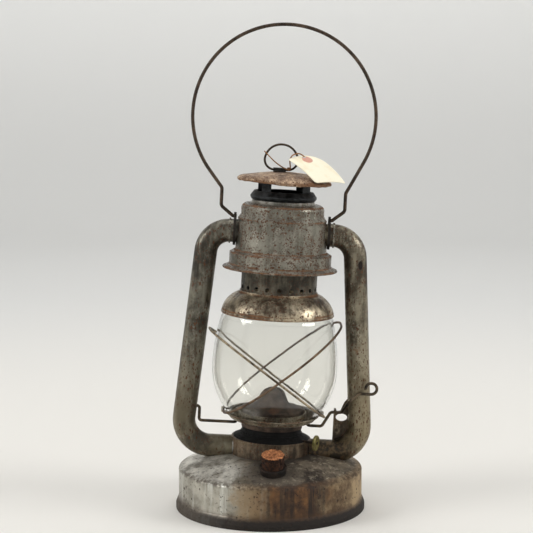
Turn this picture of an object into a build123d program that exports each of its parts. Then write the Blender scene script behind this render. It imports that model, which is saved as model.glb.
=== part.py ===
from build123d import *
import os
from math import acos, atan2, cos, degrees, hypot, pi, radians, sin, tan

# Small cold-blast barn lantern: a wide oil fount, a burner under a glass globe, two air tubes that
# carry a canopy, and a hood, cap and bail above.  Millimetres, +Z up, the fount's filler on -Y and
# the two air tubes on -X and +X.  The origin is the centre of the fount's foot ring.
# Everything above the fount is built upright on the Z axis and then leaned towards +X, because
# this old lantern's frame is bent.

# ---- whole lantern ----
FRAME_LEAN = 2.9                    # degrees the bent frame leans towards +X
LEAN_PIVOT_Z = 47.0                 # height at which the lean starts, the top of the fount
SHEET = 0.9                         # tinplate thickness
FIT = 0.06                          # radial clearance of a wire or shaft in its hole
SEAT = 0.05                         # gap left round soldered joints

# ---- fount ----
FOUNT_R = 80.0
FOOT_R = 82.5
FOOT_ROLL_TOP_Z = 4.0
FOOT_FLARE_TOP_Z = 10.0
SHOULDER_Z = 33.0
DOME_EDGE_R = 78.3
DOME_EDGE_Z = 36.0
DOME_MID_R = 55.0
DOME_MID_Z = 44.0
FOUNT_MOUTH_R = 22.5
FOUNT_MOUTH_Z = 48.4
FOUNT_FLOOR_Z = 3.0
COLLAR_R = 21.6                     # threaded ring that takes the burner
COLLAR_FLANGE_R = 26.0
COLLAR_FLANGE_Z = 50.2
COLLAR_BOTTOM_Z = 44.0
COLLAR_TOP_Z = 54.0

# ---- filler and cork, on the slope of the dome ----
FILLER_X = 2.3
FILLER_Y = -55.7
FILLER_Z = 43.7
FILLER_TILT = 14.5                  # degrees towards -Y
NECK_R = 11.0
NECK_LIP_R = 11.7
NECK_HEIGHT = 5.5
NECK_DEPTH = 4.0
CORK_TOP_R = 10.0
CORK_BOTTOM_R = 8.8
CORK_TOP = 16.8
CORK_BOTTOM = -7.0
NECK_BORE_R = 9.75

# ---- air chamber and burner ----
CHAMBER_R = 34.0
CHAMBER_TOP_Z = 61.4
CHAMBER_BEAD_R = 0.8
CHAMBER_SINK = 8.0                  # how far the wall is carried down before the dome trims it
BURNER_R = 26.0
BURNER_BOTTOM_Z = 57.0
BURNER_TOP_Z = 70.5
BURNER_NECK_R = 19.6
BURNER_NECK_BOTTOM_Z = 45.0
DECK_TOP_Z = 65.0
DOME_SKIRT_R = 27.0
DOME_SKIRT_TOP_Z = 87.3
BURNER_CROWN_Z = 105.3
BURNER_TOP_BORE_R = 13.0
DOME_SHOULDER = [(17.0, 90.0), (12.2, 95.0)]    # (radius, height) half-way and at the cone's foot
DOME_CONE_MID = (8.2, 102.6)

# ---- wick and its knob ----
WICK_WIDTH = 14.0
WICK_THICK = 1.8
WICK_TOP_Z = 97.0
WICK_BOTTOM_Z = 16.0
WICK_TUBE_WIDTH = 16.6
WICK_TUBE_THICK = 4.0
WICK_TUBE_WALL = 0.8
WICK_TUBE_BOTTOM_Z = 50.0
WICK_TUBE_TOP_Z = 94.0
FLAME_SLOT_LENGTH = 19.0
FLAME_SLOT_WIDTH = 4.5
SHAFT_AZIMUTH = -22.2               # degrees from +X towards -Y
SHAFT_OFFSET = 3.6                  # shaft axis in front of the wick's middle plane
SHAFT_Z = 61.7
SHAFT_R = 1.2
SHAFT_INNER = -9.5
KNOB_DISTANCE = 43.0
KNOB_R = 6.7
KNOB_THICK = 2.2
KNOB_FLUTES = 30
KNOB_FLUTE_R = 0.5
KNOB_RECESS_R = 5.2
KNOB_RECESS_INNER_R = 2.4
KNOB_RECESS_DEPTH = 0.4
SPUR_R = 2.5
SPUR_THICK = 1.0
SPUR_SPACING = 8.0
SPUR_TEETH = 10
SPUR_GULLET_R = 0.45

# ---- air tubes ----
TUBE_R = 9.9
TUBE_FOOT_Z = 50.8
TUBE_TOP_Z = 240.0
TUBE_LOW_X = 78.7                   # centreline where the foot and the upright meet
TUBE_HIGH_X = 62.95                 # centreline where the upright and the top run meet
TUBE_LOW_BEND_R = 23.0
TUBE_HIGH_BEND_R = 20.0
TUBE_FOOT_END_X = 33.4
TUBE_TOP_END_X = 35.6
FERRULE_R = 10.9
FERRULE_X = 44.6
FERRULE_WIDTH = 1.3

# ---- bail ears and bail ----
EAR_X = 39.5
EAR_THICK = 2.1
EAR_R = 12.4
EAR_TAB_R = 3.4
BAIL_Z = 252.6
BAIL_WIRE_R = 1.5
BAIL_END_X = 39.3
BAIL_STUB_X = 42.6
KINK_X = 53.1
LOW_KINK_Z = 261.0
HIGH_KINK_Z = 276.5
KINK_BEND_R = 4.0
BOW_X = -2.8                        # the bow of the bail is bent a little off centre
BOW_Z = 339.1
BOW_R = 78.2

# ---- canopy ----
LIP_R = 49.2
LIP_Z = 209.2
LIP_ROOT_R = 44.0
LIP_ROOT_Z = 212.7
STEP_TOP_Z = 222.3
BODY_LOW_R = 39.4
BODY_LOW_Z = 225.0
BODY_HIGH_R = 37.6
BODY_HIGH_Z = 249.6
RIB_R = 38.3
RIB_Z = 251.7
DRUM_R = 35.7
DRUM_LOW_Z = 255.6
DRUM_HIGH_Z = 261.4
DRUM_EDGE = (33.9, 264.1)           # (radius, height) half-way round the drum's top edge
CROWN_R = 29.5
CROWN_Z = 265.2
NECK_RING_R = 27.0
NECK_RING_BORE_R = 24.1
NECK_RING_LOW_Z = 264.6
NECK_RING_TOP_Z = 268.1

# ---- hood: bell, band, chimney, vent crown, cap ----
BELL_R = 48.6
BELL_LOW_Z = 170.0
BELL_MID_R = 43.9
BELL_MID_Z = 181.6
BAND_R = 32.8
BAND_LOW_Z = 188.2
BAND_TOP_Z = 210.0
BAND_HOLE_R = 1.9
BAND_HOLE_Z = 193.5
BAND_HOLES = 20
CHIMNEY_R = 23.5
CHIMNEY_LOW_Z = 215.0
CHIMNEY_TOP_Z = 275.4
FLANGE_R = 28.5
FLANGE_LOW_R = 27.4
FLANGE_LOW_Z = 268.6
FLANGE_EDGE_LOW_Z = 270.3
FLANGE_EDGE_TOP_Z = 271.8
FLANGE_TOP_R = 25.6
FLANGE_TOP_Z = 275.9
VENT_R = 24.8
VENT_TOP_Z = 289.5
WINDOW_LOW_Z = 275.6
WINDOW_TOP_Z = 283.0
WINDOW_WIDTH = 27.0
WINDOW_AZIMUTH = 7.0                # degrees, middle of the first of the four windows
CAP_R = 40.7
CAP_RIM_Z = 284.0
CAP_CROWN_Z = 292.6
CAP_EDGE_R = 34.0
CAP_EDGE_Z = 288.5
CAP_TURN_DOWN = (38.6, 286.6)       # (radius, height) half-way round the turned-down edge
CAP_ROLL_R = 1.1

# ---- lift ring on the cap ----
RING_X = -3.5
RING_Z = 301.5
RING_R = 14.3
RING_WIRE_R = 0.95
RING_CHORD_Z = 294.1
RING_CORNER_R = 8.5
STAPLE_X = -4.6
STAPLE_LENGTH = 10.8
STAPLE_SHEET = 0.8
STAPLE_FOOT_Y = 8.0

# ---- globe, globe plate and guard ----
PLATE_RIM_R = 40.2
PLATE_RIM_Z = 81.8
PLATE_KNEE_R = 36.8
PLATE_KNEE_Z = 77.9
PLATE_BOTTOM_R = 32.8
PLATE_BOTTOM_Z = 76.0
PLATE_EYE_R = 29.6
PLATE_EYE_LOW_Z = 77.4
PLATE_EYE_TOP_Z = 84.5
PLATE_HOLES = 24
PLATE_HOLE_R = 0.8
GLOBE_R = 54.4
GLOBE_BELLY_Z = 122.0
GLOBE_FOOT_R = 37.9
GLOBE_FOOT_Z = 81.0
GLOBE_SHOULDER_R = 48.6
GLOBE_SHOULDER_Z = 166.5
GLOBE_TOP_R = 46.1
GLOBE_TOP_Z = 174.0
GLASS = 2.2
GUARD_WIRE_R = 1.0
GUARD_LOW_X = 42.7                  # wire centre where a hoop's low end sits on the plate's rim
GUARD_LOW_Z = 83.3
LEFT_HOOP_HIGH_X = -57.5
LEFT_HOOP_HIGH_Z = 153.2
LEFT_HOOP_WIDTH = 127.0
LEFT_HOOP_TURN = 7.1                # degrees, front higher than back
LEFT_HOOP_CORNER_R = 44.0
RIGHT_HOOP_HIGH_X = 55.4
RIGHT_HOOP_HIGH_Z = 162.9
RIGHT_HOOP_WIDTH = 119.5
RIGHT_HOOP_TURN = 0.6               # degrees, back higher than front
RIGHT_HOOP_CORNER_R = 55.0
CLIP_SHEET = 0.6
CLIP_WIDTH = 4.6
CLIP_ROOT_X = 40.75
CLIP_LOW_Z = 81.2
CLIP_TOP_Z = 85.3

# ---- crank that lifts the globe ----
CRANK_WIRE_R = 1.3
CRANK_Z = 85.3
CRANK_END_X = -69.5
CRANK_LEFT_X = -63.6
CRANK_LOW_Z = 72.4
CRANK_BOW_R = 31.6
CRANK_RIGHT_X = 43.6
CRANK_AXIS_X = 50.9
CRANK_TURN_X = 60.4
CRANK_BOW_START_Y = 3.4
CRANK_BEND_R = 3.0
CRANK_FRONT_Y = -13.4
LOOP_X = 84.0
LOOP_Z = 110.3
LOOP_R = 4.8
LOOP_END_AZIMUTH = 190.0            # degrees, where the finger loop's wire ends
HANDLE_BEND_R = 4.0
HANDLE_POINTS = [(66.0, CRANK_FRONT_Y, 98.5), (73.5, CRANK_FRONT_Y, 105.5)]

# ---- bracket that carries the crank on the right tube ----
BRACKET_X = 53.6
BRACKET_LOW_Z = 58.0
BRACKET_SHEET = 1.2
BRACKET_BACK_Y = 2.2
BRACKET_FRONT_Y = -4.0
BRACKET_TOP_Z = 88.4
BRACKET_HOLE_X = 60.6
BRACKET_HOLE_Z = 80.6
BRACKET_HOLE_HALF_WIDTH = 5.0
BRACKET_HOLE_HALF_HEIGHT = 3.3
BRACKET_TOP_LINE = [(53.6, 88.4), (55.2, 88.4), (56.2, 86.0), (59.4, 86.4), (62.4, 94.0), (66.0, 98.5),
                    (76.0, 98.5)]   # top edge of the web, from the turned-out edge into the tube

# ---- paper tag and its string ----
TAG_THICK = 0.4
TAG_CORNERS = [(2.0, -7.0, 303.4), (33.0, 8.0, 303.0), (52.0, -13.0, 285.6), (26.0, -33.0, 286.0)]
TAG_HOLE_END_CREST = (17.5, 1.0, 311.0)
TAG_FREE_END_CREST = (40.0, -24.0, 288.5)
TAG_BULGE = 3.0
TAG_HOLE = (16.0, -3.0, 306.0)
TAG_HOLE_R = 1.4
KNOT_PLACE = (3.4, -3.3, 295.2)
KNOT_R = 2.2
STRING_R = 0.55
STRING_POINTS = [(16.0, -3.0, 306.2), (13.2, -4.0, 308.6), (9.4, -5.6, 309.0), (5.4, -6.0, 307.2),
                 (3.6, -5.0, 303.4), (4.0, -3.6, 299.4), (4.6, -2.9, 296.6), (3.0, -2.6, 294.6),
                 (0.0, -2.9, 295.2), (-7.0, -2.9, 299.2), (-12.9, -2.1, 304.2), (-18.4, -1.9, 309.6)]

LEAN = Pos(0, 0, LEAN_PIVOT_Z) * Rot(0, FRAME_LEAN, 0) * Pos(0, 0, -LEAN_PIVOT_Z)


def turned(*lines):
    """A solid of revolution about Z from a closed outline of (radius, height) lines."""
    return revolve(Plane.XZ * make_face(Curve() + list(lines)), Axis.Z)


def turned_sheet(skin, thickness=SHEET, side=Side.LEFT):
    """A turned sheet-metal wall whose outer skin is the open line given as (radius, height)."""
    outline = offset(skin, amount=thickness, side=side)
    return revolve(Plane.XZ * make_face(outline.edges()), Axis.Z)


def ring(outer_r, inner_r, low_z, high_z):
    """A plain upright ring."""
    height = high_z - low_z
    return Pos(0, 0, (low_z + high_z) / 2) * (Cylinder(outer_r, height) - Cylinder(inner_r, height))


def wire_along(path, radius):
    """Round wire swept along a path."""
    return sweep(Plane(origin=path @ 0, z_dir=path % 0) * Circle(radius), path=path)


def rod_x(radius, x_from, x_to, y, z):
    """A straight rod along X."""
    return Pos((x_from + x_to) / 2, y, z) * Rot(0, 90, 0) * Cylinder(radius, abs(x_to - x_from))


# ---- fount ----

def dome_line():
    """Top of the fount, from its shoulder up to its mouth."""
    return ThreePointArc((DOME_EDGE_R, DOME_EDGE_Z), (DOME_MID_R, DOME_MID_Z),
                         (FOUNT_MOUTH_R, FOUNT_MOUTH_Z))


def fount_skin():
    """Outer line of the fount, from the foot up to the mouth."""
    shoulder = ThreePointArc((FOUNT_R, SHOULDER_Z), (FOUNT_R - 0.3, SHOULDER_Z + 1.8),
                             (DOME_EDGE_R, DOME_EDGE_Z))
    side = Polyline((FOOT_R, 0), (FOOT_R, FOOT_ROLL_TOP_Z), (FOUNT_R, FOOT_FLARE_TOP_Z),
                    (FOUNT_R, SHOULDER_Z))
    return Curve() + [side, shoulder, dome_line()]


def fount_block():
    """The whole space inside the fount's outer skin, used to seat what stands on it."""
    return turned(fount_skin(), Polyline((FOUNT_MOUTH_R, FOUNT_MOUTH_Z), (0, FOUNT_MOUTH_Z), (0, 0),
                                         (FOOT_R, 0)))


def make_fount_shell():
    shell = turned_sheet(fount_skin())
    bore = filler_place() * Cylinder(NECK_R + SEAT, 3 * NECK_HEIGHT)
    return shell - bore


def make_fount_bottom():
    """Dished floor, crimped into the foot."""
    wall_r = FOOT_R - SHEET - SEAT
    outline = Polyline((wall_r, 0), (wall_r, FOUNT_FLOOR_Z), (0, FOUNT_FLOOR_Z),
                       (0, FOUNT_FLOOR_Z - SHEET), (wall_r - SHEET, FOUNT_FLOOR_Z - SHEET),
                       (wall_r - SHEET, 0), (wall_r, 0))
    return turned(outline)


def make_fount_collar():
    """Threaded ring soldered into the mouth, leaned with the burner it holds."""
    bore_r = BURNER_NECK_R + SEAT
    body = ring(COLLAR_R, bore_r, COLLAR_BOTTOM_Z, COLLAR_TOP_Z)
    flange = ring(COLLAR_FLANGE_R, bore_r, COLLAR_FLANGE_Z, COLLAR_FLANGE_Z + 1.2)
    return LEAN * (body + flange)


def filler_place():
    return Pos(FILLER_X, FILLER_Y, FILLER_Z) * Rot(FILLER_TILT, 0, 0)


def make_filler_neck():
    neck = ring(NECK_R, NECK_BORE_R, -NECK_DEPTH, NECK_HEIGHT)
    lip = ring(NECK_LIP_R, NECK_BORE_R, NECK_HEIGHT - 1.4, NECK_HEIGHT)
    lip = fillet(lip.edges().filter_by(GeomType.CIRCLE).group_by(SortBy.RADIUS)[-1], 0.6)
    return filler_place() * (neck + lip)


def make_cork():
    body = Pos(0, 0, (CORK_TOP + CORK_BOTTOM) / 2) * Cone(CORK_BOTTOM_R, CORK_TOP_R,
                                                          CORK_TOP - CORK_BOTTOM)
    body = fillet(body.edges().group_by(Axis.Z)[-1], 0.8)
    return filler_place() * body


# ---- air chamber and burner ----

def make_air_chamber():
    low_z = LEAN_PIVOT_Z - CHAMBER_SINK
    wall = ring(CHAMBER_R, CHAMBER_R - SHEET, low_z, CHAMBER_TOP_Z)
    bead = Pos(0, 0, CHAMBER_TOP_Z - CHAMBER_BEAD_R) * Torus(CHAMBER_R - 0.1, CHAMBER_BEAD_R)
    feet = rod_x(TUBE_R + SEAT, -TUBE_LOW_X, TUBE_LOW_X, 0, TUBE_FOOT_Z)
    return LEAN * (wall + bead - feet - shaft_bore()) - fount_block()


def shaft_place():
    """Frame whose X axis is the wick shaft, at the lantern's axis."""
    return Rot(0, 0, SHAFT_AZIMUTH) * Pos(0, -SHAFT_OFFSET, SHAFT_Z)


def shaft_bore():
    """Space that the turning shaft needs through the burner, the deck and the chamber's rim."""
    return shaft_place() * rod_x(SHAFT_R + FIT, 0, KNOB_DISTANCE, 0, 0)


def make_burner_deck():
    """Sloping deck between the air chamber's rim and the burner."""
    skin = Polyline((CHAMBER_R - SHEET - SEAT, CHAMBER_TOP_Z - 2.2),
                    (CHAMBER_R - SHEET - SEAT, CHAMBER_TOP_Z + 0.2),
                    (BURNER_R + SEAT + SHEET, DECK_TOP_Z), (BURNER_R + SEAT + SHEET, DECK_TOP_Z + 1.0))
    deck = turned_sheet(skin)
    return LEAN * (deck - shaft_bore())


def make_burner_body():
    """Burner drum with the threaded neck that screws into the fount."""
    drum = ring(BURNER_R, BURNER_R - SHEET, BURNER_BOTTOM_Z, BURNER_TOP_Z)
    top = ring(BURNER_R, BURNER_TOP_BORE_R, BURNER_TOP_Z - SHEET, BURNER_TOP_Z)
    floor = ring(BURNER_R, BURNER_NECK_R - SHEET, BURNER_BOTTOM_Z, BURNER_BOTTOM_Z + SHEET)
    neck = ring(BURNER_NECK_R, BURNER_NECK_R - SHEET, BURNER_NECK_BOTTOM_Z, BURNER_BOTTOM_Z + SHEET)
    bridge = Pos(0, 0, BURNER_BOTTOM_Z - 2) * Cylinder(BURNER_NECK_R - SHEET / 2, SHEET)
    slot = Rot(0, 0, SHAFT_AZIMUTH) * Pos(0, 0, BURNER_BOTTOM_Z) * Box(
        WICK_TUBE_WIDTH + 2 * SEAT, WICK_TUBE_THICK + 2 * SEAT, 12)
    body = drum + top + floor + neck + (bridge - slot)
    return LEAN * (body - shaft_bore())


def make_burner_dome():
    """Air dome over the wick, with the flame slot across its crown."""
    skin = Curve() + [
        Polyline((DOME_SKIRT_R, BURNER_TOP_Z + SEAT), (DOME_SKIRT_R, DOME_SKIRT_TOP_Z)),
        ThreePointArc((DOME_SKIRT_R, DOME_SKIRT_TOP_Z), *DOME_SHOULDER),
        ThreePointArc(DOME_SHOULDER[1], DOME_CONE_MID, (0, BURNER_CROWN_Z)),
    ]
    dome = turned_sheet(skin)
    slot = Rot(0, 0, SHAFT_AZIMUTH) * Pos(0, 0, BURNER_CROWN_Z) * Box(
        FLAME_SLOT_LENGTH, FLAME_SLOT_WIDTH, 20)
    return LEAN * (dome - slot)


def flat_tube(width, thick, low_z, high_z):
    """A flat bar with rounded edges standing across the shaft's direction."""
    outline = Rot(0, 0, SHAFT_AZIMUTH) * SlotOverall(width, thick)
    return Pos(0, 0, low_z) * extrude(outline, high_z - low_z)


def make_wick_tube():
    outer = flat_tube(WICK_TUBE_WIDTH, WICK_TUBE_THICK, WICK_TUBE_BOTTOM_Z, WICK_TUBE_TOP_Z)
    inner = flat_tube(WICK_TUBE_WIDTH - 2 * WICK_TUBE_WALL, WICK_TUBE_THICK - 2 * WICK_TUBE_WALL,
                      WICK_TUBE_BOTTOM_Z, WICK_TUBE_TOP_Z)
    slots = [shaft_place() * Pos(x, 0, 0) * Rot(0, 90, 0) * Cylinder(SPUR_R + 0.4, SPUR_THICK + 0.6)
             for x in spur_places()]
    return LEAN * (outer - inner - slots)


def make_wick():
    return LEAN * flat_tube(WICK_WIDTH, WICK_THICK, WICK_BOTTOM_Z, WICK_TOP_Z)


def spur_places():
    return (-SPUR_SPACING / 2, SPUR_SPACING / 2)


def spur_wheel():
    """Small toothed wheel that drives the wick."""
    disc = Rot(0, 90, 0) * Cylinder(SPUR_R, SPUR_THICK)
    gullets = [Rot(360 * i / SPUR_TEETH, 0, 0) * Pos(0, 0, SPUR_R + 0.1) * Rot(0, 90, 0)
               * Cylinder(SPUR_GULLET_R, SPUR_THICK) for i in range(SPUR_TEETH)]
    return disc - gullets - Rot(0, 90, 0) * Cylinder(SHAFT_R + SEAT, SPUR_THICK)


def make_spur_wheels():
    wheels = [LEAN * shaft_place() * Pos(x, 0, 0) * spur_wheel() for x in spur_places()]
    return Compound(children=wheels)


def make_knob_shaft():
    return LEAN * shaft_place() * rod_x(SHAFT_R, SHAFT_INNER, KNOB_DISTANCE + KNOB_THICK / 2 + 0.6, 0, 0)


def make_knob_wheel():
    """Coined brass button with a milled rim."""
    disc = Rot(0, 90, 0) * Cylinder(KNOB_R, KNOB_THICK)
    disc = chamfer(disc.edges().filter_by(GeomType.CIRCLE), 0.4)
    flutes = [Rot(360 * i / KNOB_FLUTES, 0, 0) * Pos(0, 0, KNOB_R + KNOB_FLUTE_R / 2) * Rot(0, 90, 0)
              * Cylinder(KNOB_FLUTE_R, KNOB_THICK) for i in range(KNOB_FLUTES)]
    groove = ring(KNOB_RECESS_R, KNOB_RECESS_INNER_R, -KNOB_RECESS_DEPTH, KNOB_RECESS_DEPTH)
    recess = Pos(KNOB_THICK / 2, 0, 0) * Rot(0, 90, 0) * groove
    bore = Rot(0, 90, 0) * Cylinder(SHAFT_R + SEAT, KNOB_THICK)
    return LEAN * shaft_place() * Pos(KNOB_DISTANCE, 0, 0) * (disc - flutes - recess - bore)


# ---- air tubes, ferrules, ears, bail ----

def tube_path(side):
    return FilletPolyline((side * TUBE_FOOT_END_X, 0, TUBE_FOOT_Z), (side * TUBE_LOW_X, 0, TUBE_FOOT_Z),
                          (side * TUBE_HIGH_X, 0, TUBE_TOP_Z), (side * TUBE_TOP_END_X, 0, TUBE_TOP_Z),
                          radius=[TUBE_LOW_BEND_R, TUBE_HIGH_BEND_R])


def make_air_tube(side):
    path = tube_path(side)
    tube = wire_along(path, TUBE_R) - wire_along(path, TUBE_R - SHEET)
    if side < 0:
        tube -= rod_x(CRANK_WIRE_R + FIT, CRANK_END_X, CRANK_LEFT_X, 0, CRANK_Z)
    return LEAN * tube - fount_block()


def make_ferrule(side):
    body = rod_x(FERRULE_R, 0, FERRULE_WIDTH, 0, TUBE_TOP_Z) - rod_x(
        TUBE_R + SEAT, 0, FERRULE_WIDTH, 0, TUBE_TOP_Z)
    return LEAN * Pos(side * FERRULE_X - FERRULE_WIDTH / 2, 0, 0) * body


def make_bail_ear(side):
    """Flat plate round the tube's end, with an eye above it for the bail."""
    x_near = side * EAR_X
    x_far = side * (EAR_X + EAR_THICK)
    plate = rod_x(EAR_R, x_near, x_far, 0, TUBE_TOP_Z)
    tab = rod_x(EAR_TAB_R, x_near, x_far, 0, BAIL_Z)
    holes = rod_x(TUBE_R + SEAT, x_near, x_far, 0, TUBE_TOP_Z) + rod_x(
        BAIL_WIRE_R + FIT, x_near, x_far, 0, BAIL_Z)
    return LEAN * (plate + tab - holes)


def tangent_angle(x, z, side):
    """Angle round the bow at which a straight from (x, z) touches it."""
    reach = hypot(x - BOW_X, z - BOW_Z)
    return degrees(atan2(z - BOW_Z, x - BOW_X)) + side * degrees(acos(BOW_R / reach))


def bow_point(angle):
    return Vector(BOW_X + BOW_R * cos(radians(angle)), 0, BOW_Z + BOW_R * sin(radians(angle)))


def bail_leg(side):
    """One end of the bail, from its eye out and up to the bow."""
    touch = bow_point(tangent_angle(side * KINK_X, HIGH_KINK_Z, side))
    return FilletPolyline((side * BAIL_END_X, 0, BAIL_Z), (side * BAIL_STUB_X, 0, BAIL_Z),
                          (side * KINK_X, 0, LOW_KINK_Z), (side * KINK_X, 0, HIGH_KINK_Z), touch,
                          radius=[2.0, KINK_BEND_R, KINK_BEND_R])


def make_bail():
    left = bail_leg(-1)
    right = bail_leg(1)
    bow = ThreePointArc(left @ 1, bow_point(90), right @ 1)
    path = Wire(list(left.edges()) + [bow.edge()] + list(right.edges()))
    return LEAN * wire_along(path, BAIL_WIRE_R)


# ---- canopy ----

def canopy_skin():
    return Curve() + [
        Polyline((LIP_R, LIP_Z), (LIP_ROOT_R, LIP_ROOT_Z), (LIP_ROOT_R, STEP_TOP_Z),
                 (BODY_LOW_R, BODY_LOW_Z), (BODY_HIGH_R, BODY_HIGH_Z), (RIB_R, RIB_Z),
                 (DRUM_R, DRUM_LOW_Z), (DRUM_R, DRUM_HIGH_Z)),
        ThreePointArc((DRUM_R, DRUM_HIGH_Z), DRUM_EDGE, (CROWN_R, CROWN_Z)),
        Line((CROWN_R, CROWN_Z), (NECK_RING_BORE_R, CROWN_Z + 0.3)),
    ]


def make_canopy():
    shell = turned_sheet(canopy_skin())
    roll = Pos(0, 0, LIP_Z + 0.1) * Torus(LIP_R - 0.4, 0.8)
    tubes = rod_x(TUBE_R + SEAT, -TUBE_HIGH_X, TUBE_HIGH_X, 0, TUBE_TOP_Z)
    seat = ring(NECK_RING_R + SEAT, NECK_RING_BORE_R - SHEET, NECK_RING_LOW_Z - SEAT, NECK_RING_TOP_Z)
    return LEAN * (shell + roll - tubes - seat)


def make_neck_ring_upright():
    body = ring(NECK_RING_R, NECK_RING_BORE_R, NECK_RING_LOW_Z, NECK_RING_TOP_Z)
    return fillet(body.edges().filter_by(GeomType.CIRCLE).group_by(Axis.Z)[-1].sort_by(
        SortBy.RADIUS)[-1], 1.2)


def make_canopy_neck():
    return LEAN * make_neck_ring_upright()


# ---- hood ----

def make_bell():
    skin = Curve() + [
        Line((BELL_R, BELL_LOW_Z), (BELL_R, BELL_LOW_Z + 2.2)),
        ThreePointArc((BELL_R, BELL_LOW_Z + 2.2), (BELL_MID_R, BELL_MID_Z), (BAND_R + SHEET, BAND_LOW_Z)),
        Line((BAND_R + SHEET, BAND_LOW_Z), (BAND_R + SHEET, BAND_LOW_Z + 1.6)),
    ]
    roll = Pos(0, 0, BELL_LOW_Z + 0.5) * Torus(BELL_R - 0.35, 0.75)
    return LEAN * (turned_sheet(skin) + roll)


def make_perforated_band():
    """Pierced band above the bell, coned in to the chimney."""
    sleeve_r = CHIMNEY_R + SHEET + SEAT
    skin = Polyline((BAND_R - SEAT, BAND_LOW_Z - 1.6), (BAND_R - SEAT, BAND_TOP_Z),
                    (sleeve_r, CHIMNEY_LOW_Z + 1), (sleeve_r, CHIMNEY_LOW_Z + 4))
    band = turned_sheet(skin)
    holes = [Rot(0, 0, 360 * i / BAND_HOLES) * Pos(0, BAND_R, BAND_HOLE_Z) * Rot(90, 0, 0)
             * Cylinder(BAND_HOLE_R, 6) for i in range(BAND_HOLES)]
    return LEAN * (band - holes)


def make_chimney_tube():
    return LEAN * ring(CHIMNEY_R, CHIMNEY_R - SHEET, CHIMNEY_LOW_Z, CHIMNEY_TOP_Z)


def make_vent_crown():
    """Flange that drops over the chimney, and four posts that hold the cap clear of it."""
    inner_r = CHIMNEY_R + SEAT
    flange = turned(Polyline(
        (inner_r, FLANGE_LOW_Z), (FLANGE_LOW_R, FLANGE_LOW_Z), (FLANGE_R, FLANGE_EDGE_LOW_Z),
        (FLANGE_R, FLANGE_EDGE_TOP_Z), (FLANGE_TOP_R, FLANGE_TOP_Z), (inner_r, FLANGE_TOP_Z),
        (inner_r, FLANGE_LOW_Z)))
    drum = ring(VENT_R, VENT_R - SHEET, FLANGE_TOP_Z - 1.0, VENT_TOP_Z)
    window = Box(WINDOW_WIDTH, 2 * VENT_R, WINDOW_TOP_Z - WINDOW_LOW_Z)
    windows = [Rot(0, 0, WINDOW_AZIMUTH + 90 * i) * Pos(0, -VENT_R, (WINDOW_TOP_Z + WINDOW_LOW_Z) / 2)
               * window for i in range(4)]
    return LEAN * (flange + (drum - windows))


def cap_skin():
    crown = TangentArc((0, CAP_CROWN_Z), (CAP_EDGE_R, CAP_EDGE_Z), tangent=(1, 0))
    edge = ThreePointArc((CAP_EDGE_R, CAP_EDGE_Z), CAP_TURN_DOWN, (CAP_R, CAP_RIM_Z))
    return Wire([crown.edge(), edge.edge()])


def make_cap():
    shell = turned_sheet(cap_skin(), side=Side.RIGHT)
    roll = Pos(0, 0, CAP_RIM_Z) * Torus(CAP_R - CAP_ROLL_R + 0.3, CAP_ROLL_R)
    return LEAN * (shell + roll)


def lift_ring_path():
    """D-shaped line of the lift ring, upright."""
    half = (RING_R ** 2 - (RING_Z - RING_CHORD_Z) ** 2) ** 0.5
    left = (RING_X - half, RING_CHORD_Z)
    right = (RING_X + half, RING_CHORD_Z)
    bow = ThreePointArc(right, (RING_X, RING_Z + RING_R), left)
    face = fillet(make_face([Line(left, right).edge(), bow.edge()]).vertices(), RING_CORNER_R)
    return (Plane.XZ * face).face().outer_wire()


def make_lift_ring():
    """Wire ring whose straight side turns in the staple."""
    return LEAN * wire_along(lift_ring_path(), RING_WIRE_R)


def make_ring_staple():
    """Strap soldered to the cap, arched over the ring's straight side."""
    inner_r = RING_WIRE_R + 0.08
    outer_r = inner_r + STAPLE_SHEET
    foot_top = CAP_CROWN_Z + STAPLE_SHEET
    arch = Pos(0, 0, RING_CHORD_Z) * (Rot(0, 90, 0) * Cylinder(outer_r, STAPLE_LENGTH))
    legs = Pos(0, 0, (RING_CHORD_Z + CAP_CROWN_Z) / 2) * Box(
        STAPLE_LENGTH, 2 * outer_r, RING_CHORD_Z - CAP_CROWN_Z)
    feet = Pos(0, 0, foot_top - STAPLE_SHEET / 2) * Box(STAPLE_LENGTH, 2 * STAPLE_FOOT_Y, STAPLE_SHEET)
    bore = Pos(0, 0, RING_CHORD_Z) * (Rot(0, 90, 0) * Cylinder(inner_r, STAPLE_LENGTH))
    below = Pos(0, 0, CAP_CROWN_Z - STAPLE_FOOT_Y) * Box(
        2 * STAPLE_LENGTH, 2 * STAPLE_FOOT_Y, 2 * STAPLE_FOOT_Y)
    return LEAN * Pos(STAPLE_X, 0, 0) * (arch + legs + feet - bore - below)


# ---- globe carriage ----

def make_globe_plate():
    """Pierced dish that carries the globe round the burner dome."""
    skin = Polyline((PLATE_RIM_R, PLATE_RIM_Z), (PLATE_KNEE_R, PLATE_KNEE_Z),
                    (PLATE_BOTTOM_R, PLATE_BOTTOM_Z), (PLATE_EYE_R, PLATE_EYE_LOW_Z),
                    (PLATE_EYE_R - SHEET, PLATE_EYE_TOP_Z))
    dish = turned_sheet(skin, side=Side.RIGHT)
    roll = Pos(0, 0, PLATE_RIM_Z) * Torus(PLATE_RIM_R - 0.2, 0.6)
    mid_r = (PLATE_RIM_R + PLATE_KNEE_R) / 2
    mid_z = (PLATE_RIM_Z + PLATE_KNEE_Z) / 2
    slope = 90 + degrees(atan2(PLATE_RIM_R - PLATE_KNEE_R, PLATE_RIM_Z - PLATE_KNEE_Z))
    holes = [Rot(0, 0, 360 * i / PLATE_HOLES) * Pos(mid_r, 0, mid_z) * Rot(0, slope, 0)
             * Cylinder(PLATE_HOLE_R, 4) for i in range(PLATE_HOLES)]
    return LEAN * (dish + roll - holes)


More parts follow.
